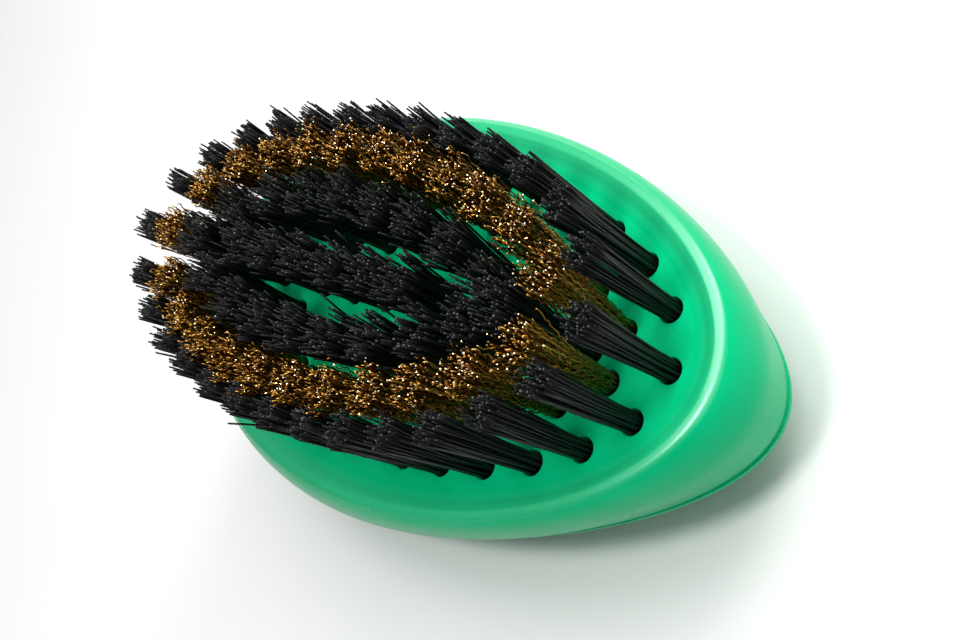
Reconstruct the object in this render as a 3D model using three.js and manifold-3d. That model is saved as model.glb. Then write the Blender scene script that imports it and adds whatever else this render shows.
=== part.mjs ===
// Club groove brush: a palm-held oval brush for cleaning golf clubs.
// Millimetres, +Z up along the bristles, +X towards the narrow end, origin under the middle of the back.
// Two moulded shells make the body. The face block is drilled with blind holes in nested oval rows, and
// each hole holds one tuft that is folded in half at its foot: nylon, then brass, then nylon again.
import * as THREE from "three";
import { mergeVertices } from "three/addons/utils/BufferGeometryUtils.js";
import Module from "manifold-3d";

const wasm = await Module();
wasm.setup();

// Driving dimensions
const FACE_HEIGHT = 20; // flat bristle face above the surface that the back lies on
const PARTING_HEIGHT = 7.2; // plane where the two shells meet
const SHELL_GAP = 0.3; // clearance between parts that meet
const WALL = 2.4; // wall of the hollow back shell
const BODY_SIDES = 56; // facets round the body
const OVERSHOOT = 1; // how far cutters and joined bars run past the surface they meet
const WELD_DISTANCE = 1e-4; // points closer than this are one point

const TUFT_LENGTH = 16; // free length of every tuft
const HOLE_RADIUS = 1.4;
const HOLE_DEPTH = 8;
const HOLE_SIDES = 10;
const TUFT_FOOT_RADIUS = 1.2; // squeezed in its hole
const TUFT_TIP_RADIUS = 1.5; // slightly splayed at the trimmed end
const TUFT_SIDES = 8;
const FOLD_WIDTH = 0.4; // thickness of the folded foot, as a share of the tuft's width
const FOLD_HEIGHT = 1.4; // length of the foot that tapers to the fold

// Egg-shaped loop of the outer row of tufts, and the one that the rows inside it are inset from.
const OUTER_LOOP = { halfLength: 39, halfWidth: 17.4, taper: 0.01 };
const NESTED_LOOP = { halfLength: 39, halfWidth: 17.9, taper: 0.09 };
const BRASS_INSET = 5.4;
const INNER_INSET = 10.5;
const OUTER_COUNT = 28;
const BRASS_COUNT = 23;
const INNER_COUNT = 18;
const INNER_GROUP = 3; // neighbouring inner tufts whose filaments mingle into one clump
const CENTRE_COUNT = 6;
const CENTRE_PITCH = 6.4;
const CENTRE_START = -19.2;
// Degrees that each row leans outwards at the narrow end, along the sides and at the blunt end
const OUTER_SPLAY = { narrow: 2.5, side: 1.5, blunt: 4.5 };
const BRASS_SPLAY = { narrow: 5, side: 5, blunt: 5 };
const INNER_SPLAY = { narrow: 2, side: 2, blunt: 2 };

const WEB_THICKNESS = 0.7; // strands that tie the tufts of one clump together
const WEB_LOW = 9;
const WEB_HIGH = 12;

// Pegs of the face block that press into bosses of the back shell
const PEG_PLACES = [[22, 8], [22, -8], [-24, 12], [-24, -12]];
const PEG_RADIUS = 2.5;
const PEG_LENGTH = 4;
const BOSS_RADIUS = 4.6;
const PEG_SIDES = 12;

// Cross-sections of the body, from the top down. z is measured from the bristle face.
// The face is a shallow dish: a low crest runs round it, then a rounded shoulder and a deep flank
// that draws in towards the narrow end.
const FACE_SECTIONS = [
  { middle: 0.3, halfLength: 41.2, halfWidth: 20.5, taper: 0.07, z: 0 }, // foot of the dish
  { middle: 0.3, halfLength: 42.4, halfWidth: 21.8, taper: 0.07, z: 0.2 },
  { middle: 0.3, halfLength: 43.3, halfWidth: 22.8, taper: 0.07, z: 0.5 },
  { middle: 0.3, halfLength: 44.0, halfWidth: 23.5, taper: 0.07, z: 0.6 }, // crest
  { middle: 0.3, halfLength: 45.0, halfWidth: 24.5, taper: 0.08, z: 0.15 },
  { middle: 0.2, halfLength: 46.0, halfWidth: 25.5, taper: 0.1, z: -1.7 }, // shoulder
  { middle: 0, halfLength: 46.6, halfWidth: 26.0, taper: 0.15, z: -5 },
  { middle: -0.4, halfLength: 46.2, halfWidth: 25.8, taper: 0.22, z: -9 }, // flank
  { middle: -0.9, halfLength: 45.7, halfWidth: 25.3, taper: 0.28, z: PARTING_HEIGHT - FACE_HEIGHT },
];
const PARTING_SECTION = FACE_SECTIONS.at(-1);

const BACK_STEPS = 5; // rings of the rounded back, from the parting plane down
const LAND_SHARE = 0.5; // size of the flat land on the back, as a share of the widest outline

const materials = {
  green: new THREE.MeshStandardMaterial({ color: 0x07a870, roughness: 0.38, metalness: 0 }),
  greenBack: new THREE.MeshStandardMaterial({ color: 0x059463, roughness: 0.42, metalness: 0 }),
  nylon: new THREE.MeshStandardMaterial({ color: 0x111214, roughness: 0.5, metalness: 0 }),
  brass: new THREE.MeshStandardMaterial({ color: 0xb8862f, roughness: 0.35, metalness: 1 }),
};

// A point of an egg-shaped loop. Angle 0 is the narrow end.
function eggPoint({ middle = 0, halfLength, halfWidth, taper }, angle) {
  const x = middle + halfLength * Math.cos(angle);
  const y = halfWidth * (1 - taper * Math.cos(angle)) * Math.sin(angle);
  return new THREE.Vector2(x, y);
}

// The egg-shaped loop as a ring of points at one height.
function eggRing(section, z, sides = BODY_SIDES) {
  const ring = [];
  for (let i = 0; i < sides; i += 1) {
    const point = eggPoint(section, (2 * Math.PI * i) / sides);
    ring.push(new THREE.Vector3(point.x, point.y, z));
  }
  return ring;
}

// A round ring about the point (x, y), squeezed along its first axis by narrow, which points along turn.
function roundRing({ x, y, z, radius, sides, turn = 0, narrow = 1 }) {
  const ring = [];
  for (let i = 0; i < sides; i += 1) {
    const angle = (2 * Math.PI * i) / sides;
    const along = radius * narrow * Math.cos(angle);
    const across = radius * Math.sin(angle);
    const dx = along * Math.cos(turn) - across * Math.sin(turn);
    const dy = along * Math.sin(turn) + across * Math.cos(turn);
    ring.push(new THREE.Vector3(x + dx, y + dy, z));
  }
  return ring;
}

// A closed solid through rings of equal point counts, listed from the top down, with flat ends.
function loft(rings) {
  const sides = rings[0].length;
  const positions = [];
  const addFace = (a, b, c) => positions.push(...a.toArray(), ...b.toArray(), ...c.toArray());
  for (let level = 0; level + 1 < rings.length; level += 1) {
    for (let i = 0; i < sides; i += 1) {
      const next = (i + 1) % sides;
      const [upper, lower] = [rings[level], rings[level + 1]];
      addFace(upper[i], lower[i], lower[next]);
      addFace(upper[i], lower[next], upper[next]);
    }
  }
  const [top, bottom] = [rings[0], rings.at(-1)];
  for (let i = 1; i + 1 < sides; i += 1) {
    addFace(top[0], top[i], top[i + 1]);
    addFace(bottom[0], bottom[i + 1], bottom[i]);
  }
  const geometry = new THREE.BufferGeometry();
  geometry.setAttribute("position", new THREE.Float32BufferAttribute(positions, 3));
  return geometry;
}

// A closed three.js geometry as a solid for cutting and joining.
function toSolid(geometry) {
  const bare = geometry.clone();
  bare.deleteAttribute("normal");
  bare.deleteAttribute("uv");
  const merged = mergeVertices(bare, WELD_DISTANCE);
  return new wasm.Manifold(new wasm.Mesh({
    numProp: 3,
    vertProperties: merged.attributes.position.array,
    triVerts: new Uint32Array(merged.index.array),
  }));
}

function toGeometry(solid) {
  const mesh = solid.getMesh();
  const geometry = new THREE.BufferGeometry();
  geometry.setAttribute("position", new THREE.BufferAttribute(mesh.vertProperties, 3));
  geometry.setIndex(new THREE.BufferAttribute(mesh.triVerts, 1));
  geometry.computeVertexNormals();
  return geometry;
}

// Outward lean per millimetre of height, blended from the sides to the ends of a row.
function leanAt(splay, outward) {
  const end = outward.x > 0 ? splay.narrow : splay.blunt;
  const degrees = splay.side + (end - splay.side) * outward.x ** 2;
  return Math.tan(THREE.MathUtils.degToRad(degrees));
}

// Tuft places evenly spaced along a line that runs inset millimetres inside a loop.
// Each place has its point on the face and its outward direction. The first one is firstShare of a pitch
// from the narrow end.
function rowPlaces({ loop, count, splay, inset = 0, firstShare = 0 }) {
  const fineSteps = 720;
  const smallTurn = 1e-4;
  const line = [];
  for (let i = 0; i <= fineSteps; i += 1) {
    const angle = (2 * Math.PI * i) / fineSteps;
    const point = eggPoint(loop, angle);
    const ahead = eggPoint(loop, angle + smallTurn);
    const tangent = ahead.sub(point).normalize();
    const outward = new THREE.Vector2(tangent.y, -tangent.x);
    point.addScaledVector(outward, -inset);
    const travelled = i === 0 ? 0 : line[i - 1].travelled + point.distanceTo(line[i - 1].point);
    line.push({ point, outward, travelled });
  }
  const pitch = line.at(-1).travelled / count;
  const places = [];
  for (let i = 0; i < count; i += 1) {
    const wanted = ((i + firstShare + count) % count) * pitch;
    const { point, outward } = line.find((step) => step.travelled >= wanted);
    places.push({ x: point.x, y: point.y, outward, lean: leanAt(splay, outward) });
  }
  return places;
}

function centrePlaces() {
  const places = [];
  for (let i = 0; i < CENTRE_COUNT; i += 1) {
    const x = CENTRE_START + i * CENTRE_PITCH;
    places.push({ x, y: 0, outward: new THREE.Vector2(1, 0), lean: 0 });
  }
  return places;
}

// Ring of a tuft or hole at height z above the face. Rings stay level, because the tips are trimmed flat.
function tuftRing(place, z, radius, sides, narrow = 1) {
  const x = place.x + place.outward.x * place.lean * z;
  const y = place.y + place.outward.y * place.lean * z;
  const turn = Math.atan2(place.outward.y, place.outward.x);
  return roundRing({ x, y, z: FACE_HEIGHT + z, radius, sides, turn, narrow });
}

function holeGeometry(place) {
  return loft([
    tuftRing(place, OVERSHOOT, HOLE_RADIUS, HOLE_SIDES),
    tuftRing(place, -HOLE_DEPTH, HOLE_RADIUS, HOLE_SIDES),
  ]);
}

// A tuft: folded foot at the bottom of its hole, squeezed shank, free length, flat-trimmed tip.
function tuftGeometry(place) {
  const footEnd = SHELL_GAP - HOLE_DEPTH;
  return loft([
    tuftRing(place, TUFT_LENGTH, TUFT_TIP_RADIUS, TUFT_SIDES),
    tuftRing(place, 0, TUFT_FOOT_RADIUS, TUFT_SIDES),
    tuftRing(place, footEnd + FOLD_HEIGHT, TUFT_FOOT_RADIUS, TUFT_SIDES),
    tuftRing(place, footEnd, TUFT_FOOT_RADIUS, TUFT_SIDES, FOLD_WIDTH),
  ]);
}

// Mingled strands between two neighbouring tufts of a clump.
function webGeometry(from, to) {
  const middle = (WEB_LOW + WEB_HIGH) / 2;
  const start = new THREE.Vector2(from.x, from.y).addScaledVector(from.outward, from.lean * middle);
  const end = new THREE.Vector2(to.x, to.y).addScaledVector(to.outward, to.lean * middle);
  const span = end.clone().sub(start);
  const box = new THREE.BoxGeometry(span.length(), WEB_THICKNESS, WEB_HIGH - WEB_LOW);
  box.rotateZ(Math.atan2(span.y, span.x));
  box.translate((start.x + end.x) / 2, (start.y + end.y) / 2, FACE_HEIGHT + middle);
  return box;
}

function clumpGeometry(places) {
  let clump = toSolid(tuftGeometry(places[0]));
  for (let i = 1; i < places.length; i += 1) {
    clump = clump.add(toSolid(tuftGeometry(places[i])));
    clump = clump.add(toSolid(webGeometry(places[i - 1], places[i])));
  }
  return toGeometry(clump);
}

// Upright round bar between two heights, for pegs, bosses and their holes.
function barSolid([x, y], radius, low, high) {
  const ring = (z) => roundRing({ x, y, z, radius, sides: PEG_SIDES });
  return toSolid(loft([ring(high), ring(low)]));
}

function faceBlockGeometry(places) {
  const rings = FACE_SECTIONS.map((section) => eggRing(section, FACE_HEIGHT + section.z));
  let block = toSolid(loft(rings));
  for (const place of places) block = block.subtract(toSolid(holeGeometry(place)));
  for (const peg of PEG_PLACES) {
    const pegEnd = PARTING_HEIGHT - PEG_LENGTH;
    block = block.add(barSolid(peg, PEG_RADIUS, pegEnd, PARTING_HEIGHT + OVERSHOOT));
  }
  return toGeometry(block);
}

// Rings of the rounded back: a quarter wave in from the widest outline to the flat land.
function backRings(inset, floor) {
  const top = PARTING_HEIGHT - SHELL_GAP;
  const rings = [];
  for (let step = 0; step <= BACK_STEPS; step += 1) {
    const angle = (Math.PI / 2) * (step / BACK_STEPS);
    const share = LAND_SHARE + (1 - LAND_SHARE) * Math.cos(angle);
    const section = {
      middle: PARTING_SECTION.middle,
      halfLength: PARTING_SECTION.halfLength * share - inset,
      halfWidth: PARTING_SECTION.halfWidth * share - inset,
      taper: PARTING_SECTION.taper * share,
    };
    rings.push(eggRing(section, top - (top - floor) * Math.sin(angle)));
  }
  return rings;
}

function backShellGeometry() {
  const cavity = backRings(WALL, WALL);
  const mouth = cavity[0].map((point) => point.clone().setZ(PARTING_HEIGHT + OVERSHOOT));
  let shell = toSolid(loft(backRings(0, 0))).subtract(toSolid(loft([mouth, ...cavity])));
  const bossFoot = WALL / 2; // the boss grows out of the middle of the wall
  const bossTop = PARTING_HEIGHT - SHELL_GAP;
  for (const peg of PEG_PLACES) {
    shell = shell.add(barSolid(peg, BOSS_RADIUS, bossFoot, bossTop));
    shell = shell.subtract(barSolid(peg, PEG_RADIUS + SHELL_GAP, WALL, bossTop + OVERSHOOT));
  }
  return toGeometry(shell);
}

const brush = new THREE.Group();

function addPart(name, geometry, material) {
  const mesh = new THREE.Mesh(geometry, material);
  mesh.name = name;
  brush.add(mesh);
}

const twoDigits = (number) => String(number).padStart(2, "0");

const outerRow = rowPlaces({ loop: OUTER_LOOP, count: OUTER_COUNT, splay: OUTER_SPLAY });
const brassRow = rowPlaces({
  loop: NESTED_LOOP,
  count: BRASS_COUNT,
  splay: BRASS_SPLAY,
  inset: BRASS_INSET,
  firstShare: 0.5,
});
const innerRow = rowPlaces({
  loop: NESTED_LOOP,
  count: INNER_COUNT,
  splay: INNER_SPLAY,
  inset: INNER_INSET,
  firstShare: -1,
});
const centreRow = centrePlaces();

const everyTuft = [...outerRow, ...brassRow, ...innerRow, ...centreRow];

addPart("face_block", faceBlockGeometry(everyTuft), materials.green);
addPart("back_shell", backShellGeometry(), materials.greenBack);
outerRow.forEach((place, i) => {
  addPart("outer_nylon_tuft_" + twoDigits(i + 1), tuftGeometry(place), materials.nylon);
});
brassRow.forEach((place, i) => {
  addPart("brass_tuft_" + twoDigits(i + 1), tuftGeometry(place), materials.brass);
});
for (let first = 0; first < INNER_COUNT; first += INNER_GROUP) {
  const clump = innerRow.slice(first, first + INNER_GROUP);
  addPart("inner_nylon_clump_" + (1 + first / INNER_GROUP), clumpGeometry(clump), materials.nylon);
}
addPart("centre_nylon_row", clumpGeometry(centreRow), materials.nylon);

export default brush;
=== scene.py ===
"""Looks for the club groove brush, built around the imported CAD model.

Metres, in the CAD frame: +Z up along the bristles, +X towards the narrow end, origin under the middle of the
back. The moulded shells are remade with smooth surfaces, and every tuft is remade as loose filaments that are
folded in half round a metal anchor at the bottom of their hole.
"""
import math

import bpy
import numpy as np
from mathutils import Matrix, Vector


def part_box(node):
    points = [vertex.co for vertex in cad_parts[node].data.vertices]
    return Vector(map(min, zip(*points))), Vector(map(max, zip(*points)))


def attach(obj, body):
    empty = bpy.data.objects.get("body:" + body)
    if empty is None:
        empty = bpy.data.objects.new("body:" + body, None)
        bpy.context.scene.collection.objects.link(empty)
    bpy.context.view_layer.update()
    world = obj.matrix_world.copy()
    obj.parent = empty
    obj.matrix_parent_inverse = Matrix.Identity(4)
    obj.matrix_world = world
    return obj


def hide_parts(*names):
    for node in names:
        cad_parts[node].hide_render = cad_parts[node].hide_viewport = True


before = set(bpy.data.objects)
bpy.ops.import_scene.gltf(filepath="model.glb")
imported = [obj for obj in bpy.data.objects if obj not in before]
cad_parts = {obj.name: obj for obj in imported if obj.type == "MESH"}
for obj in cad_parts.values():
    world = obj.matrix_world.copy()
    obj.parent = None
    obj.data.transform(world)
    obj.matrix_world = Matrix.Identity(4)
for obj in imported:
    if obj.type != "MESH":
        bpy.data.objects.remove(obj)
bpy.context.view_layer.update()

MM = 0.001
SEED = 11

# ---------------------------------------------------------------- sizes, in millimetres

PARTING_HEIGHT = 7.2
PARTING_GAP = 0.12
EDGE_ROUND = 0.3
WALL = 2.4
BODY_SIDES = 192
RING_STEPS = 7  # smooth rings between two cross-sections of the body
FLAT_INSET = 0.15  # ring just inside the edge of the bristle face
ROUND_TURNS = (30, 60, 90)  # degrees round the parting edge
OVERSHOOT = 1  # how far a cutter, or the root of a peg, runs past the surface it meets

HOLE_RADIUS = 1.4
HOLE_DEPTH = 8.0
HOLE_RIM = 0.12  # rounding round the mouth of each hole
RIM_MIDDLE = (0.3, 0.4)  # where the rounding's middle lies, outwards and down, as shares of its size
HOLE_LIFT = 0.01  # the cutter starts this far above the face
DRILL_POINT = 0.7
DRILL_TIP_SHARE = 0.15  # width of the drill's tip, as a share of the hole's
HOLE_SIDES = 28

PEG_PLACES = ((22, 8), (22, -8), (-24, 12), (-24, -12))
PEG_RADIUS = 2.5
PEG_LENGTH = 4.0
BOSS_RADIUS = 4.6
BOSS_DROP = 0.2  # bosses stop this far below the edge of the back shell
PEG_CLEARANCE = 0.15
BAR_CHAMFER = 0.25
BORE_CHAMFER = 0.1

LAND_SHARE = 0.5  # flat land on the back, as a share of the widest outline
BACK_STEPS = 28

# Cross-sections of the face block: middle, half length, half width, taper, height from the bristle face.
FACE_SECTIONS = (
    (0.3, 41.2, 20.5, 0.07, 0.0),
    (0.3, 42.4, 21.8, 0.07, 0.2),
    (0.3, 43.3, 22.8, 0.07, 0.5),
    (0.3, 44.0, 23.5, 0.07, 0.6),
    (0.3, 45.0, 24.5, 0.08, 0.15),
    (0.2, 46.0, 25.5, 0.10, -1.7),
    (0.0, 46.6, 26.0, 0.15, -5.0),
    (-0.4, 46.2, 25.8, 0.22, -9.0),
    (-0.9, 45.7, 25.3, 0.28, -12.8),
)
CREST_RISE = 0.6

_, block_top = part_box("face_block")
FACE_HEIGHT = block_top.z / MM - CREST_RISE

# ---------------------------------------------------------------- materials


def new_material(name):
    """A material, its node tree, and its Principled shader."""
    material = bpy.data.materials.new(name)
    material.use_nodes = True
    tree = material.node_tree
    return material, tree, tree.nodes["Principled BSDF"]


def add_node(tree, kind, inputs=None, **settings):
    """A node with its settings, and with each input set to a value or linked to another node's output."""
    node = tree.nodes.new(kind)
    for key, value in settings.items():
        setattr(node, key, value)
    for key, value in (inputs or {}).items():
        if isinstance(value, bpy.types.NodeSocket):
            tree.links.new(value, node.inputs[key])
        else:
            node.inputs[key].default_value = value
    return node


def noise(tree, scale, detail=3.0, roughness=0.55, stretch=(1, 1, 1)):
    """Noise in the object's own coordinates, in cycles per metre, as a value from 0 to 1."""
    place = add_node(tree, "ShaderNodeTexCoord")
    mapping = add_node(tree, "ShaderNodeMapping", {"Vector": place.outputs["Object"], "Scale": stretch})
    node = add_node(
        tree,
        "ShaderNodeTexNoise",
        {"Vector": mapping.outputs["Vector"], "Scale": scale, "Detail": detail, "Roughness": roughness},
    )
    return node.outputs["Fac"]


def spread(tree, value, low, high, out_low=0.0, out_high=1.0):
    """Maps low..high of a value onto out_low..out_high."""
    node = add_node(
        tree,
        "ShaderNodeMapRange",
        {"Value": value, "From Min": low, "From Max": high, "To Min": out_low, "To Max": out_high},
    )
    return node.outputs["Result"]


def mix_colours(tree, factor, first, second):
    """The first colour where the factor is 0, the second where it is 1."""
    node = add_node(tree, "ShaderNodeMix", data_type="RGBA")
    tree.links.new(factor, node.inputs["Factor"])
    for socket, colour in (("A", first), ("B", second)):
        target = next(s for s in node.inputs if s.name == socket and s.type == "RGBA")
        if isinstance(colour, bpy.types.NodeSocket):
            tree.links.new(colour, target)
        else:
            target.default_value = (*colour, 1)
    return next(s for s in node.outputs if s.type == "RGBA")


def bump(tree, shader, height, distance, strength=1.0, under=None):
    """Adds relief to the shader, on top of any relief under it."""
    node = add_node(tree, "ShaderNodeBump", {"Height": height, "Distance": distance, "Strength": strength})
    if under is not None:
        tree.links.new(under, node.inputs["Normal"])
    tree.links.new(node.outputs["Normal"], shader.inputs["Normal"])
    return node.outputs["Normal"]


def strand_value(tree):
    """A random value from 0 to 1 for each separate filament of a mesh."""
    return add_node(tree, "ShaderNodeNewGeometry").outputs["Random Per Island"]


def height_share(tree, low, high, out_low=0.0, out_high=1.0):
    """Maps heights above the bristle face, in millimetres, onto out_low..out_high."""
    place = add_node(tree, "ShaderNodeTexCoord").outputs["Object"]
    height = add_node(tree, "ShaderNodeSeparateXYZ", {"Vector": place}).outputs["Z"]
    return spread(tree, height, (FACE_HEIGHT + low) * MM, (FACE_HEIGHT + high) * MM, out_low, out_high)


def green_plastic():
    """Semi-gloss moulded plastic: fine grain, slow waves from cooling, faint scuffs, a polished crest."""
    material, tree, shader = new_material("green_plastic")
    cloud = spread(tree, noise(tree, 90, 4), 0.3, 0.7)
    colour = mix_colours(tree, cloud, (0.0, 0.41, 0.16), (0.001, 0.455, 0.185))
    tree.links.new(colour, shader.inputs["Base Color"])
    scuff = noise(tree, 420, 5, 0.7, stretch=(1, 3.2, 1))
    tree.links.new(spread(tree, scuff, 0.3, 0.8, 0.27, 0.35), shader.inputs["Roughness"])
    waves = bump(tree, shader, noise(tree, 55, 2), 0.12 * MM, 0.4)
    bump(tree, shader, noise(tree, 4600, 2), 0.028 * MM, 1.0, under=waves)
    polish = height_share(tree, 0, 0.4, 0.13, 0.55)
    tree.links.new(polish, shader.inputs["Specular IOR Level"])
    shader.inputs["Specular Tint"].default_value = (0.55, 0.95, 1.0, 1)
    tree.links.new(height_share(tree, 0.05, 0.35), shader.inputs["Coat Weight"])
    shader.inputs["Coat IOR"].default_value = 1.8
    shader.inputs["Coat Roughness"].default_value = 0.38
    return material


def black_nylon():
    """Drawn filament: each strand a slightly different black, with fine streaks along it."""
    material, tree, shader = new_material("black_nylon")
    strand = strand_value(tree)
    colour = mix_colours(tree, strand, (0.002, 0.0025, 0.0025), (0.008, 0.009, 0.009))
    tree.links.new(colour, shader.inputs["Base Color"])
    tree.links.new(spread(tree, strand, 0, 1, 0.25, 0.45), shader.inputs["Roughness"])
    shader.inputs["Specular IOR Level"].default_value = 0.15
    streaks = noise(tree, 9000, 2, stretch=(1, 1, 0.04))
    bump(tree, shader, streaks, 0.02 * MM, 0.6)
    return material


def cut_nylon():
    """The trimmed end of a filament, torn a little and paler than its side."""
    material, tree, shader = new_material("cut_nylon")
    strand = strand_value(tree)
    pale = spread(tree, strand, 0.55, 1.0)
    colour = mix_colours(tree, pale, (0.003, 0.0035, 0.0035), (0.09, 0.09, 0.088))
    tree.links.new(colour, shader.inputs["Base Color"])
    bump(tree, shader, noise(tree, 14000, 3), 0.03 * MM, 0.8)
    shader.inputs["Roughness"].default_value = 0.7
    shader.inputs["Specular IOR Level"].default_value = 0.3
    return material


def brass_wire():
    """Crimped brass wire. Towards the tips each strand is a random tone from near-black brown to gold, and
    the near-black is partly random tone and partly painted shade between the packed wires. Lower down every
    strand is one even brown, a painted shade of the wires deep in the tuft.
    """
    material, tree, shader = new_material("brass_wire")
    strand = strand_value(tree)
    bright = spread(tree, strand, 0.5, 1.0)
    # near-black strands: partly random tone, partly painted shade between the packed wire tips
    tip_tone_and_shade = mix_colours(tree, bright, (0.19, 0.075, 0.007), (0.84, 0.46, 0.085))
    # even brown up to 4 mm above the face, blending to the tip tones by 15 mm: painted shade of the wires
    # deep in the tuft
    colour = mix_colours(tree, height_share(tree, 4, 15), (0.46, 0.20, 0.04), tip_tone_and_shade)
    tree.links.new(colour, shader.inputs["Base Color"])
    tree.links.new(spread(tree, strand, 0, 1, 0.2, 0.42), shader.inputs["Roughness"])
    bump(tree, shader, noise(tree, 9000, 2, stretch=(1, 1, 0.08)), 0.01 * MM, 0.5)
    shader.inputs["Metallic"].default_value = 1.0
    return material


def cut_brass():
    """The sheared end of a wire, clean metal."""
    material, tree, shader = new_material("cut_brass")
    strand = strand_value(tree)
    colour = mix_colours(tree, strand, (0.9, 0.66, 0.3), (1.0, 0.9, 0.65))
    tree.links.new(colour, shader.inputs["Base Color"])
    bump(tree, shader, noise(tree, 12000, 2), 0.01 * MM, 0.6)
    shader.inputs["Roughness"].default_value = 0.32
    shader.inputs["Metallic"].default_value = 1.0
    return material


def anchor_metal():
    """Dull flat wire, yellowish white metal with faint stains."""
    material, tree, shader = new_material("anchor_metal")
    colour = mix_colours(tree, noise(tree, 1800, 3), (0.55, 0.5, 0.4), (0.8, 0.75, 0.62))
    tree.links.new(colour, shader.inputs["Base Color"])
    tree.links.new(spread(tree, noise(tree, 5000, 2), 0.3, 0.7, 0.2, 0.4), shader.inputs["Roughness"])
    shader.inputs["Metallic"].default_value = 1.0
    return material


def floor_material():
    """Matt pale card, very slightly uneven."""
    material, tree, shader = new_material("pale_floor")
    colour = mix_colours(tree, noise(tree, 30, 3), (0.72, 0.72, 0.715), (0.75, 0.75, 0.745))
    tree.links.new(colour, shader.inputs["Base Color"])
    shader.inputs["Roughness"].default_value = 0.75
    return material


GREEN = green_plastic()
NYLON, NYLON_END = black_nylon(), cut_nylon()
BRASS, BRASS_END = brass_wire(), cut_brass()
ANCHOR = anchor_metal()

# ---------------------------------------------------------------- mesh helpers


def link_object(name, mesh, materials):
    """A new object in the scene that shows the mesh in the materials."""
    for material in materials:
        mesh.materials.append(material)
    piece = bpy.data.objects.new(name, mesh)
    bpy.context.scene.collection.objects.link(piece)
    return piece


def loft_mesh(name, rings):
    """A closed mesh through rings of points in millimetres, listed from the top down, with flat ends."""
    sides = len(rings[0])
    points = np.concatenate([np.asarray(ring, float) for ring in rings]) * MM
    faces = []
    for level in range(len(rings) - 1):
        upper, lower = level * sides, (level + 1) * sides
        for i in range(sides):
            after = (i + 1) % sides
            faces.append((upper + i, lower + i, lower + after, upper + after))
    faces.append(tuple(range(sides)))
    last = (len(rings) - 1) * sides
    faces.append(tuple(last + i for i in reversed(range(sides))))
    mesh = bpy.data.meshes.new(name)
    mesh.from_pydata(points.tolist(), [], faces)
    mesh.update()
    return mesh


def join_meshes(name, meshes):
    """One mesh that holds several separate closed meshes."""
    points, faces = [], []
    for mesh in meshes:
        start = len(points)
        points.extend(tuple(vertex.co) for vertex in mesh.vertices)
        faces.extend(tuple(start + i for i in face.vertices) for face in mesh.polygons)
        bpy.data.meshes.remove(mesh)
    joined = bpy.data.meshes.new(name)
    joined.from_pydata(points, [], faces)
    joined.update()
    return joined


def combine(piece, tool_mesh, operation):
    """Cuts or joins a mesh with the piece, and leaves the result in the piece's mesh."""
    tool = link_object("tool", tool_mesh, [])
    modifier = piece.modifiers.new("combine", "BOOLEAN")
    modifier.operation = operation
    modifier.object = tool
    modifier.solver = "EXACT"
    bpy.context.view_layer.update()
    evaluated = piece.evaluated_get(bpy.context.evaluated_depsgraph_get())
    result = bpy.data.meshes.new_from_object(evaluated)
    piece.modifiers.clear()
    piece.data = result
    bpy.data.objects.remove(tool)


def smooth_by_angle(piece, degrees=30):
    """Smooth shading, with sharp edges where faces meet at more than an angle."""
    piece.data.polygons.foreach_set("use_smooth", [True] * len(piece.data.polygons))
    piece.data.set_sharp_from_angle(angle=math.radians(degrees))


def finish_piece(piece, slot, *nodes):
    """Fixes a piece to the body, and hides the CAD nodes it stands for. The slot is not used."""
    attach(piece, "root")
    if nodes:
        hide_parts(*nodes)


# ---------------------------------------------------------------- body


def egg_ring(section, height=0.0, grow=0.0, sides=BODY_SIDES):
    """Points of an egg-shaped cross-section. grow moves them outwards, height lifts the whole ring."""
    middle, half_length, half_width, taper, z = section
    angle = np.linspace(0, 2 * math.pi, sides, endpoint=False)
    x = middle + (half_length + grow) * np.cos(angle)
    y = (half_width + grow) * (1 - taper * np.cos(angle)) * np.sin(angle)
    return np.stack([x, y, np.full(sides, z + height)], axis=1)


def at_height(ring, z):
    """The same ring, flat at one height."""
    return ring * (1, 1, 0) + (0, 0, z)


def between(sections, steps):
    """Cross-sections on a smooth curve through the given ones."""
    rows = np.array(sections, float)
    padded = np.concatenate([[2 * rows[0] - rows[1]], rows, [2 * rows[-1] - rows[-2]]])
    smooth = []
    for i in range(1, len(padded) - 2):
        before, start, end, after = padded[i - 1 : i + 3]
        for step in range(steps):
            t = step / steps
            slope = (end - before) * t
            bend = (2 * before - 5 * start + 4 * end - after) * t**2
            twist = (3 * start - before - 3 * end + after) * t**3
            smooth.append(start + 0.5 * (slope + bend + twist))
    smooth.append(rows[-1])
    return smooth


def bar(place, radius, low, high, sides=48, edge=BAR_CHAMFER):
    """An upright round bar with small chamfers, in millimetres."""
    angle = np.linspace(0, 2 * math.pi, sides, endpoint=False)
    levels = ((radius - edge, high), (radius, high - edge), (radius, low + edge), (radius - edge, low))
    rings = []
    for size, z in levels:
        x, y = place[0] + size * np.cos(angle), place[1] + size * np.sin(angle)
        rings.append(np.stack([x, y, np.full(sides, z)], axis=1))
    return loft_mesh("bar", rings)


def hole_cutter(tuft):
    """The drilled hole of a tuft, with its rounded mouth and conical bottom."""
    foot, direction = tuft["face"], tuft["direction"]
    angle = np.linspace(0, 2 * math.pi, HOLE_SIDES, endpoint=False)
    outwards, down = RIM_MIDDLE
    profile = (
        (HOLE_RADIUS + HOLE_RIM + HOLE_LIFT, HOLE_LIFT),
        (HOLE_RADIUS + outwards * HOLE_RIM, -down * HOLE_RIM),
        (HOLE_RADIUS, -HOLE_RIM),
        (HOLE_RADIUS, -HOLE_DEPTH),
        (HOLE_RADIUS * DRILL_TIP_SHARE, -HOLE_DEPTH - DRILL_POINT),
    )
    rings = []
    for radius, z in profile:
        centre = foot + direction * z
        ring = np.stack([radius * np.cos(angle), radius * np.sin(angle), np.zeros(HOLE_SIDES)], axis=1)
        rings.append(ring + centre)
    return loft_mesh("hole", rings)


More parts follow.
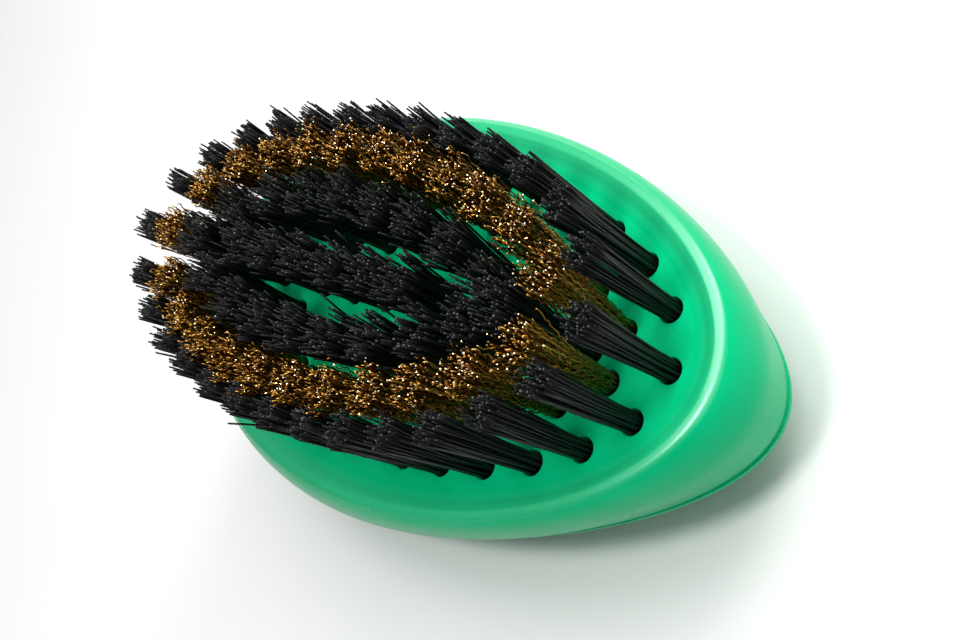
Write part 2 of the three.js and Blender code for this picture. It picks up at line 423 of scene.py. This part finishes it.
def make_face_block(tufts):
    """The solid upper moulding, with a hole for each tuft and four pegs below."""
    rings = [egg_ring(FACE_SECTIONS[0], FACE_HEIGHT, -FLAT_INSET)]
    rings += [egg_ring(section, FACE_HEIGHT) for section in between(FACE_SECTIONS, RING_STEPS)]
    widest = FACE_SECTIONS[-1]
    rings[-1] = egg_ring(widest, FACE_HEIGHT + EDGE_ROUND)
    for turn in ROUND_TURNS:
        inwards = EDGE_ROUND * (1 - math.cos(math.radians(turn)))
        raised = EDGE_ROUND * (1 - math.sin(math.radians(turn)))
        rings.append(egg_ring(widest, FACE_HEIGHT + raised, -inwards))
    block = link_object("face_block_moulding", loft_mesh("face_block", rings), [])
    combine(block, join_meshes("holes", [hole_cutter(tuft) for tuft in tufts]), "DIFFERENCE")
    low, high = PARTING_HEIGHT - PEG_LENGTH, PARTING_HEIGHT + OVERSHOOT
    pegs = [bar(place, PEG_RADIUS, low, high) for place in PEG_PLACES]
    combine(block, join_meshes("pegs", pegs), "UNION")
    block.data.materials.append(GREEN)
    smooth_by_angle(block)
    finish_piece(block, "green_plastic", "face_block")


def back_rings(inset, floor):
    """Rings of the rounded back, in a quarter wave from the widest outline in to the flat land."""
    middle, half_length, half_width, taper, _ = FACE_SECTIONS[-1]
    top = PARTING_HEIGHT - PARTING_GAP
    rings = []
    for step in range(BACK_STEPS + 1):
        angle = math.pi / 2 * step / BACK_STEPS
        share = LAND_SHARE + (1 - LAND_SHARE) * math.cos(angle)
        z = top - (top - floor) * math.sin(angle)
        rings.append(egg_ring((middle, half_length * share, half_width * share, taper * share, z), 0, -inset))
    return rings


def make_back_shell():
    """The hollow lower moulding, with a bored boss for each peg of the face block."""
    outer = back_rings(0, 0)
    edge = at_height(egg_ring(FACE_SECTIONS[-1], 0, -EDGE_ROUND), PARTING_HEIGHT - PARTING_GAP)
    lowered = outer[0] - (0, 0, EDGE_ROUND)
    shell = link_object("back_shell_moulding", loft_mesh("back_shell", [edge, lowered] + outer[1:]), [])
    cavity = back_rings(WALL, WALL)
    mouth = at_height(cavity[0], PARTING_HEIGHT + OVERSHOOT)
    combine(shell, loft_mesh("cavity", [mouth] + cavity), "DIFFERENCE")
    top = PARTING_HEIGHT - PARTING_GAP - BOSS_DROP
    bosses = [bar(place, BOSS_RADIUS, WALL / 2, top) for place in PEG_PLACES]
    combine(shell, join_meshes("bosses", bosses), "UNION")
    radius, high = PEG_RADIUS + PEG_CLEARANCE, top + 2 * OVERSHOOT
    bores = [bar(place, radius, WALL, high, edge=BORE_CHAMFER) for place in PEG_PLACES]
    combine(shell, join_meshes("bores", bores), "DIFFERENCE")
    shell.data.materials.append(GREEN)
    smooth_by_angle(shell)
    finish_piece(shell, "green_plastic", "back_shell")


# ---------------------------------------------------------------- tufts

LEVEL_TOLERANCE = 0.01
RING_REACH = 3.2  # points of a CAD tuft's end ring lie closer together than this


def ring_centres(points, level):
    """Centres of the separate rings of points that lie at one height."""
    flat = points[np.abs(points[:, 2] - level) < LEVEL_TOLERANCE]
    centres = []
    while len(flat):
        near = np.hypot(*(flat[:, :2] - flat[0, :2]).T) < RING_REACH
        centres.append(flat[near].mean(axis=0))
        flat = flat[~near]
    return centres


def tufts_of(node):
    """Where each tuft of a CAD node stands: its point on the face, and how it leans per millimetre up."""
    points = np.array([vertex.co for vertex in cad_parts[node].data.vertices]) / MM
    low, high = points[:, 2].min(), points[:, 2].max()
    feet, tips = ring_centres(points, low), ring_centres(points, high)
    found = []
    for foot in sorted(feet, key=lambda centre: (round(centre[0], 2), round(centre[1], 2))):
        tip = min(tips, key=lambda centre: np.hypot(*(centre - foot)[:2]))
        direction = (tip - foot) / (high - low)
        face = foot + direction * (FACE_HEIGHT - low)
        found.append({"node": node, "face": face, "direction": direction, "length": high - FACE_HEIGHT})
    return found


# How each kind of tuft is filled. Lengths in millimetres.
OUTER_FILL = {
    "strands": 42,  # folded filaments, so twice as many tips
    "radius": 0.13,
    "sides": 6,
    "free_steps": 8,  # points along the free length
    "splay": 1.55,  # width of the bundle at its tips, as a share of its width in the hole
    "stray": 0.22,  # how far tips drift sideways
    "wild": 3.5,  # how many times further a wild filament strays
    "ragged": 0.42,  # how much the lengths differ
    "crimp": 0.0,  # height of the waves along a filament
    "crimp_pitch": 1.0,
    "tip_tilt": 0.7,  # steepest slant of a cut end, as a share of the filament's radius
    "end_share": 0.8,  # width of a cut end, as a share of the filament's
}
INNER_FILL = dict(OUTER_FILL, strands=50, splay=2.4, stray=0.42, wild=2.2, ragged=0.5)
BRASS_FILL = {
    "strands": 70,
    "radius": 0.087,
    "sides": 3,
    "free_steps": 36,
    "splay": 2.25,
    "stray": 0.45,
    "wild": 2.2,
    "ragged": 0.35,
    "crimp": 0.15,
    "crimp_pitch": 1.7,
    "tip_tilt": 1.0,
    "end_share": 1.1,
}
WILD_SHARE = 0.03  # filaments that have sprung well out of line
LENGTH_LIMIT = 0.9  # most that one filament is longer or shorter than its tuft
PACKED_RADIUS = 1.2  # bundle inside its hole
FOLD_DEPTH = 6.9  # below the bristle face
FOLD_SAG = 0.45  # the fold hangs this far below the two legs' last points
# Points of a leg inside its hole: height from the face, and the bundle's width there, as a share.
BURIED = ((-FOLD_DEPTH + 0.5, 0.35), (-FOLD_DEPTH + 1.6, 0.7), (-3.0, 1.0))
SPLAY_BEND = 1.5  # above 1, a bundle widens mostly near its tips
STRAY_BEND = 1.7

CRIMP_PITCH_RANGE = (0.8, 1.25)  # as shares of the fill's own pitch and height of wave
CRIMP_SIZE_RANGE = (0.5, 1.4)
CROSS_WAVE = 0.6  # height and rate of the second, sideways wave, as shares of the first's
CROSS_RATE = 1.63

SIDE_HINT = (0.31, 0.95, 0.05)  # a direction that no filament runs along

ANCHOR_RISE = 0.95  # middle of the anchor above the fold
ANCHOR_REACHES = ((1.3, 1.0), (1.5, 1.15), (1.62, 0.7))  # distance from the middle, size of the section there
# Section of the anchor, across its thickness and up.
ANCHOR_OUTLINE = (
    (-0.19, -0.35),
    (-0.14, -0.42),
    (0.14, -0.42),
    (0.19, -0.35),
    (0.19, 0.35),
    (0.14, 0.42),
    (-0.14, 0.42),
    (-0.19, 0.35),
)


def across_and_along(tuft):
    """Level directions in which the tuft leans, and square to that."""
    outward = tuft["direction"] * (1, 1, 0)
    size = np.hypot(*outward[:2])
    across = outward / size if size > 1e-4 else np.array([1.0, 0, 0])
    along = np.array([-across[1], across[0], 0])
    return across, along


def crimp_waves(fill, heights, rng):
    """Sideways shifts of crimped filaments, in two level directions."""
    count = len(heights)
    pitch = fill["crimp_pitch"] * rng.uniform(*CRIMP_PITCH_RANGE, (count, 1))
    swing = 2 * math.pi * (heights / pitch + rng.uniform(0, 1, (count, 1)))
    plane = rng.uniform(0, 2 * math.pi, (count, 1))
    size = fill["crimp"] * rng.uniform(*CRIMP_SIZE_RANGE, (count, 1)) * np.clip(heights, 0, 1)
    wave = size * np.sin(swing)
    cross_wave = CROSS_WAVE * size * np.sin(CROSS_RATE * swing + plane)
    wave_u = wave * np.cos(plane) + cross_wave * np.sin(plane)
    wave_v = wave * np.sin(plane) - cross_wave * np.cos(plane)
    return wave_u, wave_v


def leg_paths(tuft, fill, side, across, along, rng):
    """One leg of each strand of a tuft, from the bottom of the hole to the tip. Shape: strands, steps, 3."""
    count, steps = fill["strands"], fill["free_steps"]
    reach = PACKED_RADIUS * np.sqrt(rng.uniform(0, 1, count))
    bearing = rng.uniform(-math.pi / 2, math.pi / 2, count)
    u, v = side * reach * np.cos(bearing), reach * np.sin(bearing)
    hidden, squeeze = np.array(BURIED).T
    length = tuft["length"] + rng.normal(0, fill["ragged"], count).clip(-LENGTH_LIMIT, LENGTH_LIMIT)
    share = np.linspace(0, 1, steps)
    heights = np.concatenate([np.tile(hidden, (count, 1)), length[:, None] * share], axis=1)
    t = np.clip(heights / tuft["length"], 0, None)
    widen = 1 + (fill["splay"] - 1) * t**SPLAY_BEND
    narrow = np.concatenate([squeeze, np.ones(steps)])
    wild = np.where(rng.uniform(0, 1, (count, 1)) < WILD_SHARE, fill["wild"], 1)
    drift = rng.normal(0, fill["stray"], (2, count, 1)) * wild * t**STRAY_BEND
    curl = rng.normal(0, fill["stray"] / 2, (2, count, 1)) * np.sin(math.pi * t)
    wave_u, wave_v = crimp_waves(fill, heights, rng)
    offset_u = u[:, None] * widen * narrow + drift[0] + curl[0] + wave_u
    offset_v = v[:, None] * widen + drift[1] + curl[1] + wave_v
    axis = tuft["face"] + tuft["direction"] * heights[..., None]
    return axis + offset_u[..., None] * across + offset_v[..., None] * along


def strand_paths(tuft, fill, rng):
    """Every strand of a tuft: tip, down one leg, round the anchor, up the other leg, tip."""
    across, along = across_and_along(tuft)
    first = leg_paths(tuft, fill, 1, across, along, rng)
    second = leg_paths(tuft, fill, -1, across, along, rng)
    middle = (first[:, :1] + second[:, :1]) / 2
    middle[..., 2] -= FOLD_SAG
    return np.concatenate([first[:, ::-1], middle, second], axis=1)


def sweep(paths, radius, sides, tilt, end_share, rng):
    """Tubes along many paths at once. Their end rings are cut at a slant. Shape: strands, steps, sides, 3."""
    tangent = np.gradient(paths, axis=1)
    tangent /= np.linalg.norm(tangent, axis=2, keepdims=True)
    normal = np.cross(tangent[:, 0], SIDE_HINT)
    turn = 2 * math.pi * np.arange(sides) / sides
    rings = np.empty((*paths.shape[:2], sides, 3))
    for step in range(paths.shape[1]):
        here = tangent[:, step]
        normal = normal - (normal * here).sum(axis=1, keepdims=True) * here
        normal /= np.linalg.norm(normal, axis=1, keepdims=True)
        side = np.cross(here, normal)
        spokes = normal[:, None] * np.cos(turn)[:, None] + side[:, None] * np.sin(turn)[:, None]
        is_end = step in (0, paths.shape[1] - 1)
        share = end_share if is_end else 1
        rings[:, step] = paths[:, step, None] + radius * share * spokes
    for end in (0, -1):
        slant = rng.uniform(-tilt, tilt, (len(paths), 1)) * radius
        lean = np.cos(turn + rng.uniform(0, 2 * math.pi, (len(paths), 1))) * slant
        rings[:, end] += lean[..., None] * tangent[:, end, None]
    return rings


def tube_mesh(name, rings):
    """A mesh of closed tubes. Their cut ends get the second material."""
    strands, steps, sides, _ = rings.shape
    index = np.arange(strands * steps * sides).reshape(strands, steps, sides)
    after = np.roll(index, -1, axis=2)
    walls = np.stack([index[:, :-1], after[:, :-1], after[:, 1:], index[:, 1:]], axis=-1).reshape(-1, 4)
    caps = np.concatenate([index[:, 0, ::-1], index[:, -1]])
    mesh = bpy.data.meshes.new(name)
    mesh.vertices.add(index.size)
    mesh.vertices.foreach_set("co", (rings * MM).ravel())
    mesh.loops.add(walls.size + caps.size)
    mesh.loops.foreach_set("vertex_index", np.concatenate([walls.ravel(), caps.ravel()]))
    mesh.polygons.add(len(walls) + len(caps))
    wall_starts = np.arange(len(walls)) * 4
    cap_starts = walls.size + np.arange(len(caps)) * sides
    mesh.polygons.foreach_set("loop_start", np.concatenate([wall_starts, cap_starts]))
    is_cap = np.arange(len(walls) + len(caps)) >= len(walls)
    mesh.polygons.foreach_set("material_index", is_cap.astype(np.int32))
    mesh.polygons.foreach_set("use_smooth", ~is_cap)
    mesh.update(calc_edges=True)
    mesh.validate()
    return mesh


def make_tuft(name, tuft, fill, materials, slot, rng):
    """One tuft of loose filaments, as one piece."""
    paths = strand_paths(tuft, fill, rng)
    rings = sweep(paths, fill["radius"], fill["sides"], fill["tip_tilt"], fill["end_share"], rng)
    piece = link_object(name, tube_mesh(name, rings), materials)
    finish_piece(piece, slot, tuft["node"])


def anchor_mesh(tuft):
    """A flat wire across the hole under the fold of a tuft, with slightly crushed ends that bite the wall."""
    across, along = across_and_along(tuft)
    up = np.array([0, 0, 1])
    centre = tuft["face"] - tuft["direction"] * (FOLD_DEPTH - ANCHOR_RISE)
    near_half = [(-reach, swell) for reach, swell in reversed(ANCHOR_REACHES)]
    rings = []
    for reach, swell in near_half + list(ANCHOR_REACHES):
        middle = centre + along * reach
        rings.append([middle + across * a * swell + up * b * swell for a, b in ANCHOR_OUTLINE])
    return loft_mesh("anchor", rings)


def make_row(prefix, tufts, fill, materials, slot, rng):
    """The tufts of one row, and the anchors that hold them."""
    for number, tuft in enumerate(tufts, 1):
        make_tuft(f"{prefix}_tuft_{number:02d}", tuft, fill, materials, slot, rng)
    anchors = join_meshes(prefix + "_anchors", [anchor_mesh(tuft) for tuft in tufts])
    piece = link_object(prefix + "_anchors", anchors, [ANCHOR])
    finish_piece(piece, "brass_wire")


def tufts_in(prefix):
    """Every tuft of the CAD nodes whose names start with the prefix."""
    names = sorted(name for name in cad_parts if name.startswith(prefix))
    return [tuft for name in names for tuft in tufts_of(name)]


NYLON_LOOK = ([NYLON, NYLON_END], "black_nylon")
BRASS_LOOK = ([BRASS, BRASS_END], "brass_wire")
ROWS = (
    ("outer_nylon", OUTER_FILL, *NYLON_LOOK),
    ("brass", BRASS_FILL, *BRASS_LOOK),
    ("inner_nylon", INNER_FILL, *NYLON_LOOK),
    ("centre_nylon", INNER_FILL, *NYLON_LOOK),
)
every_tuft = [tuft for row in ROWS for tuft in tufts_in(row[0])]
make_face_block(every_tuft)
make_back_shell()
for order, (prefix, fill, materials, slot) in enumerate(ROWS):
    make_row(prefix, tufts_in(prefix), fill, materials, slot, np.random.default_rng(SEED + order))

# ---------------------------------------------------------------- floor, light and camera

VIEW_AZIMUTH = -8.6  # degrees from +X round +Z
VIEW_ELEVATION = 42.25
VIEW_ROLL = -63.6
VIEW_DISTANCE = 160.8  # millimetres from the middle of the bristle face
VIEW_LENS = 50.55
SENSOR_WIDTH = 36
NEAREST_SEEN = 0.005  # metres from the camera
FRAME_RIGHT = -6.83  # where the middle of the bristle face lies in the picture, in millimetres there
FRAME_UP = 1.27

FLOOR_HALF = 4  # metres

AMBIENT_COLOUR = (0.95, 0.98, 1.0)
AMBIENT_STRENGTH = 0.12
WHITE = (1, 1, 1)
WARM_WHITE = (1.0, 0.98, 0.95)

# Area lights: name, place and size in metres, power in watts, colour.
LIGHTS = (
    ("key", (0.02, 0.22, 0.48), (0.5, 0.4), 2.6, WHITE),
    ("glint", (0.08, -0.06, 0.45), (0.1, 0.07), 1.05, WHITE),
    ("side", (0.1, 0.5, 0.28), (0.25, 0.3), 1.9, WARM_WHITE),
    ("front", (0.7, 0.0, 0.5), (0.8, 0.6), 1.8, WHITE),
)


def make_floor():
    """A large square at the height that the brush rests on."""
    mesh = bpy.data.meshes.new("floor")
    signs = ((-1, -1), (1, -1), (1, 1), (-1, 1))
    corners = [(x * FLOOR_HALF, y * FLOOR_HALF, 0) for x, y in signs]
    mesh.from_pydata(corners, [], [(0, 1, 2, 3)])
    floor = link_object("floor", mesh, [floor_material()])


def make_camera():
    """A camera that sees the brush as the photograph does."""
    azimuth, elevation = math.radians(VIEW_AZIMUTH), math.radians(VIEW_ELEVATION)
    back = Vector((
        math.cos(elevation) * math.cos(azimuth),
        math.cos(elevation) * math.sin(azimuth),
        math.sin(elevation),
    ))
    level = Vector((0, 0, 1)).cross(back).normalized()
    turn = Matrix.Rotation(math.radians(VIEW_ROLL), 3, back)
    right = turn @ level
    up = back.cross(right)
    target = Vector((0, 0, FACE_HEIGHT)) * MM
    place = target + back * VIEW_DISTANCE * MM - right * FRAME_RIGHT * MM - up * FRAME_UP * MM
    data = bpy.data.cameras.new("camera")
    data.lens = VIEW_LENS
    data.sensor_width = SENSOR_WIDTH
    data.clip_start = NEAREST_SEEN
    camera = bpy.data.objects.new("camera", data)
    camera.matrix_world = Matrix.Translation(place) @ Matrix((right, up, back)).transposed().to_4x4()
    bpy.context.scene.collection.objects.link(camera)
    bpy.context.scene.camera = camera


def area_light(name, place, size, power, colour):
    """A rectangular light that faces the origin."""
    data = bpy.data.lights.new(name, "AREA")
    data.shape = "RECTANGLE"
    data.size, data.size_y = size
    data.energy = power
    data.color = colour
    light = bpy.data.objects.new(name, data)
    light.location = place
    light.rotation_euler = Vector(place).to_track_quat("Z", "Y").to_euler()
    bpy.context.scene.collection.objects.link(light)


def make_light():
    """Faint light from all round, and the area lights."""
    world = bpy.data.worlds.new("studio")
    world.use_nodes = True
    background = world.node_tree.nodes["Background"]
    background.inputs["Color"].default_value = (*AMBIENT_COLOUR, 1)
    background.inputs["Strength"].default_value = AMBIENT_STRENGTH
    bpy.context.scene.world = world
    for settings in LIGHTS:
        area_light(*settings)
    bpy.context.scene.view_settings.view_transform = "Standard"


make_floor()
make_camera()
make_light()
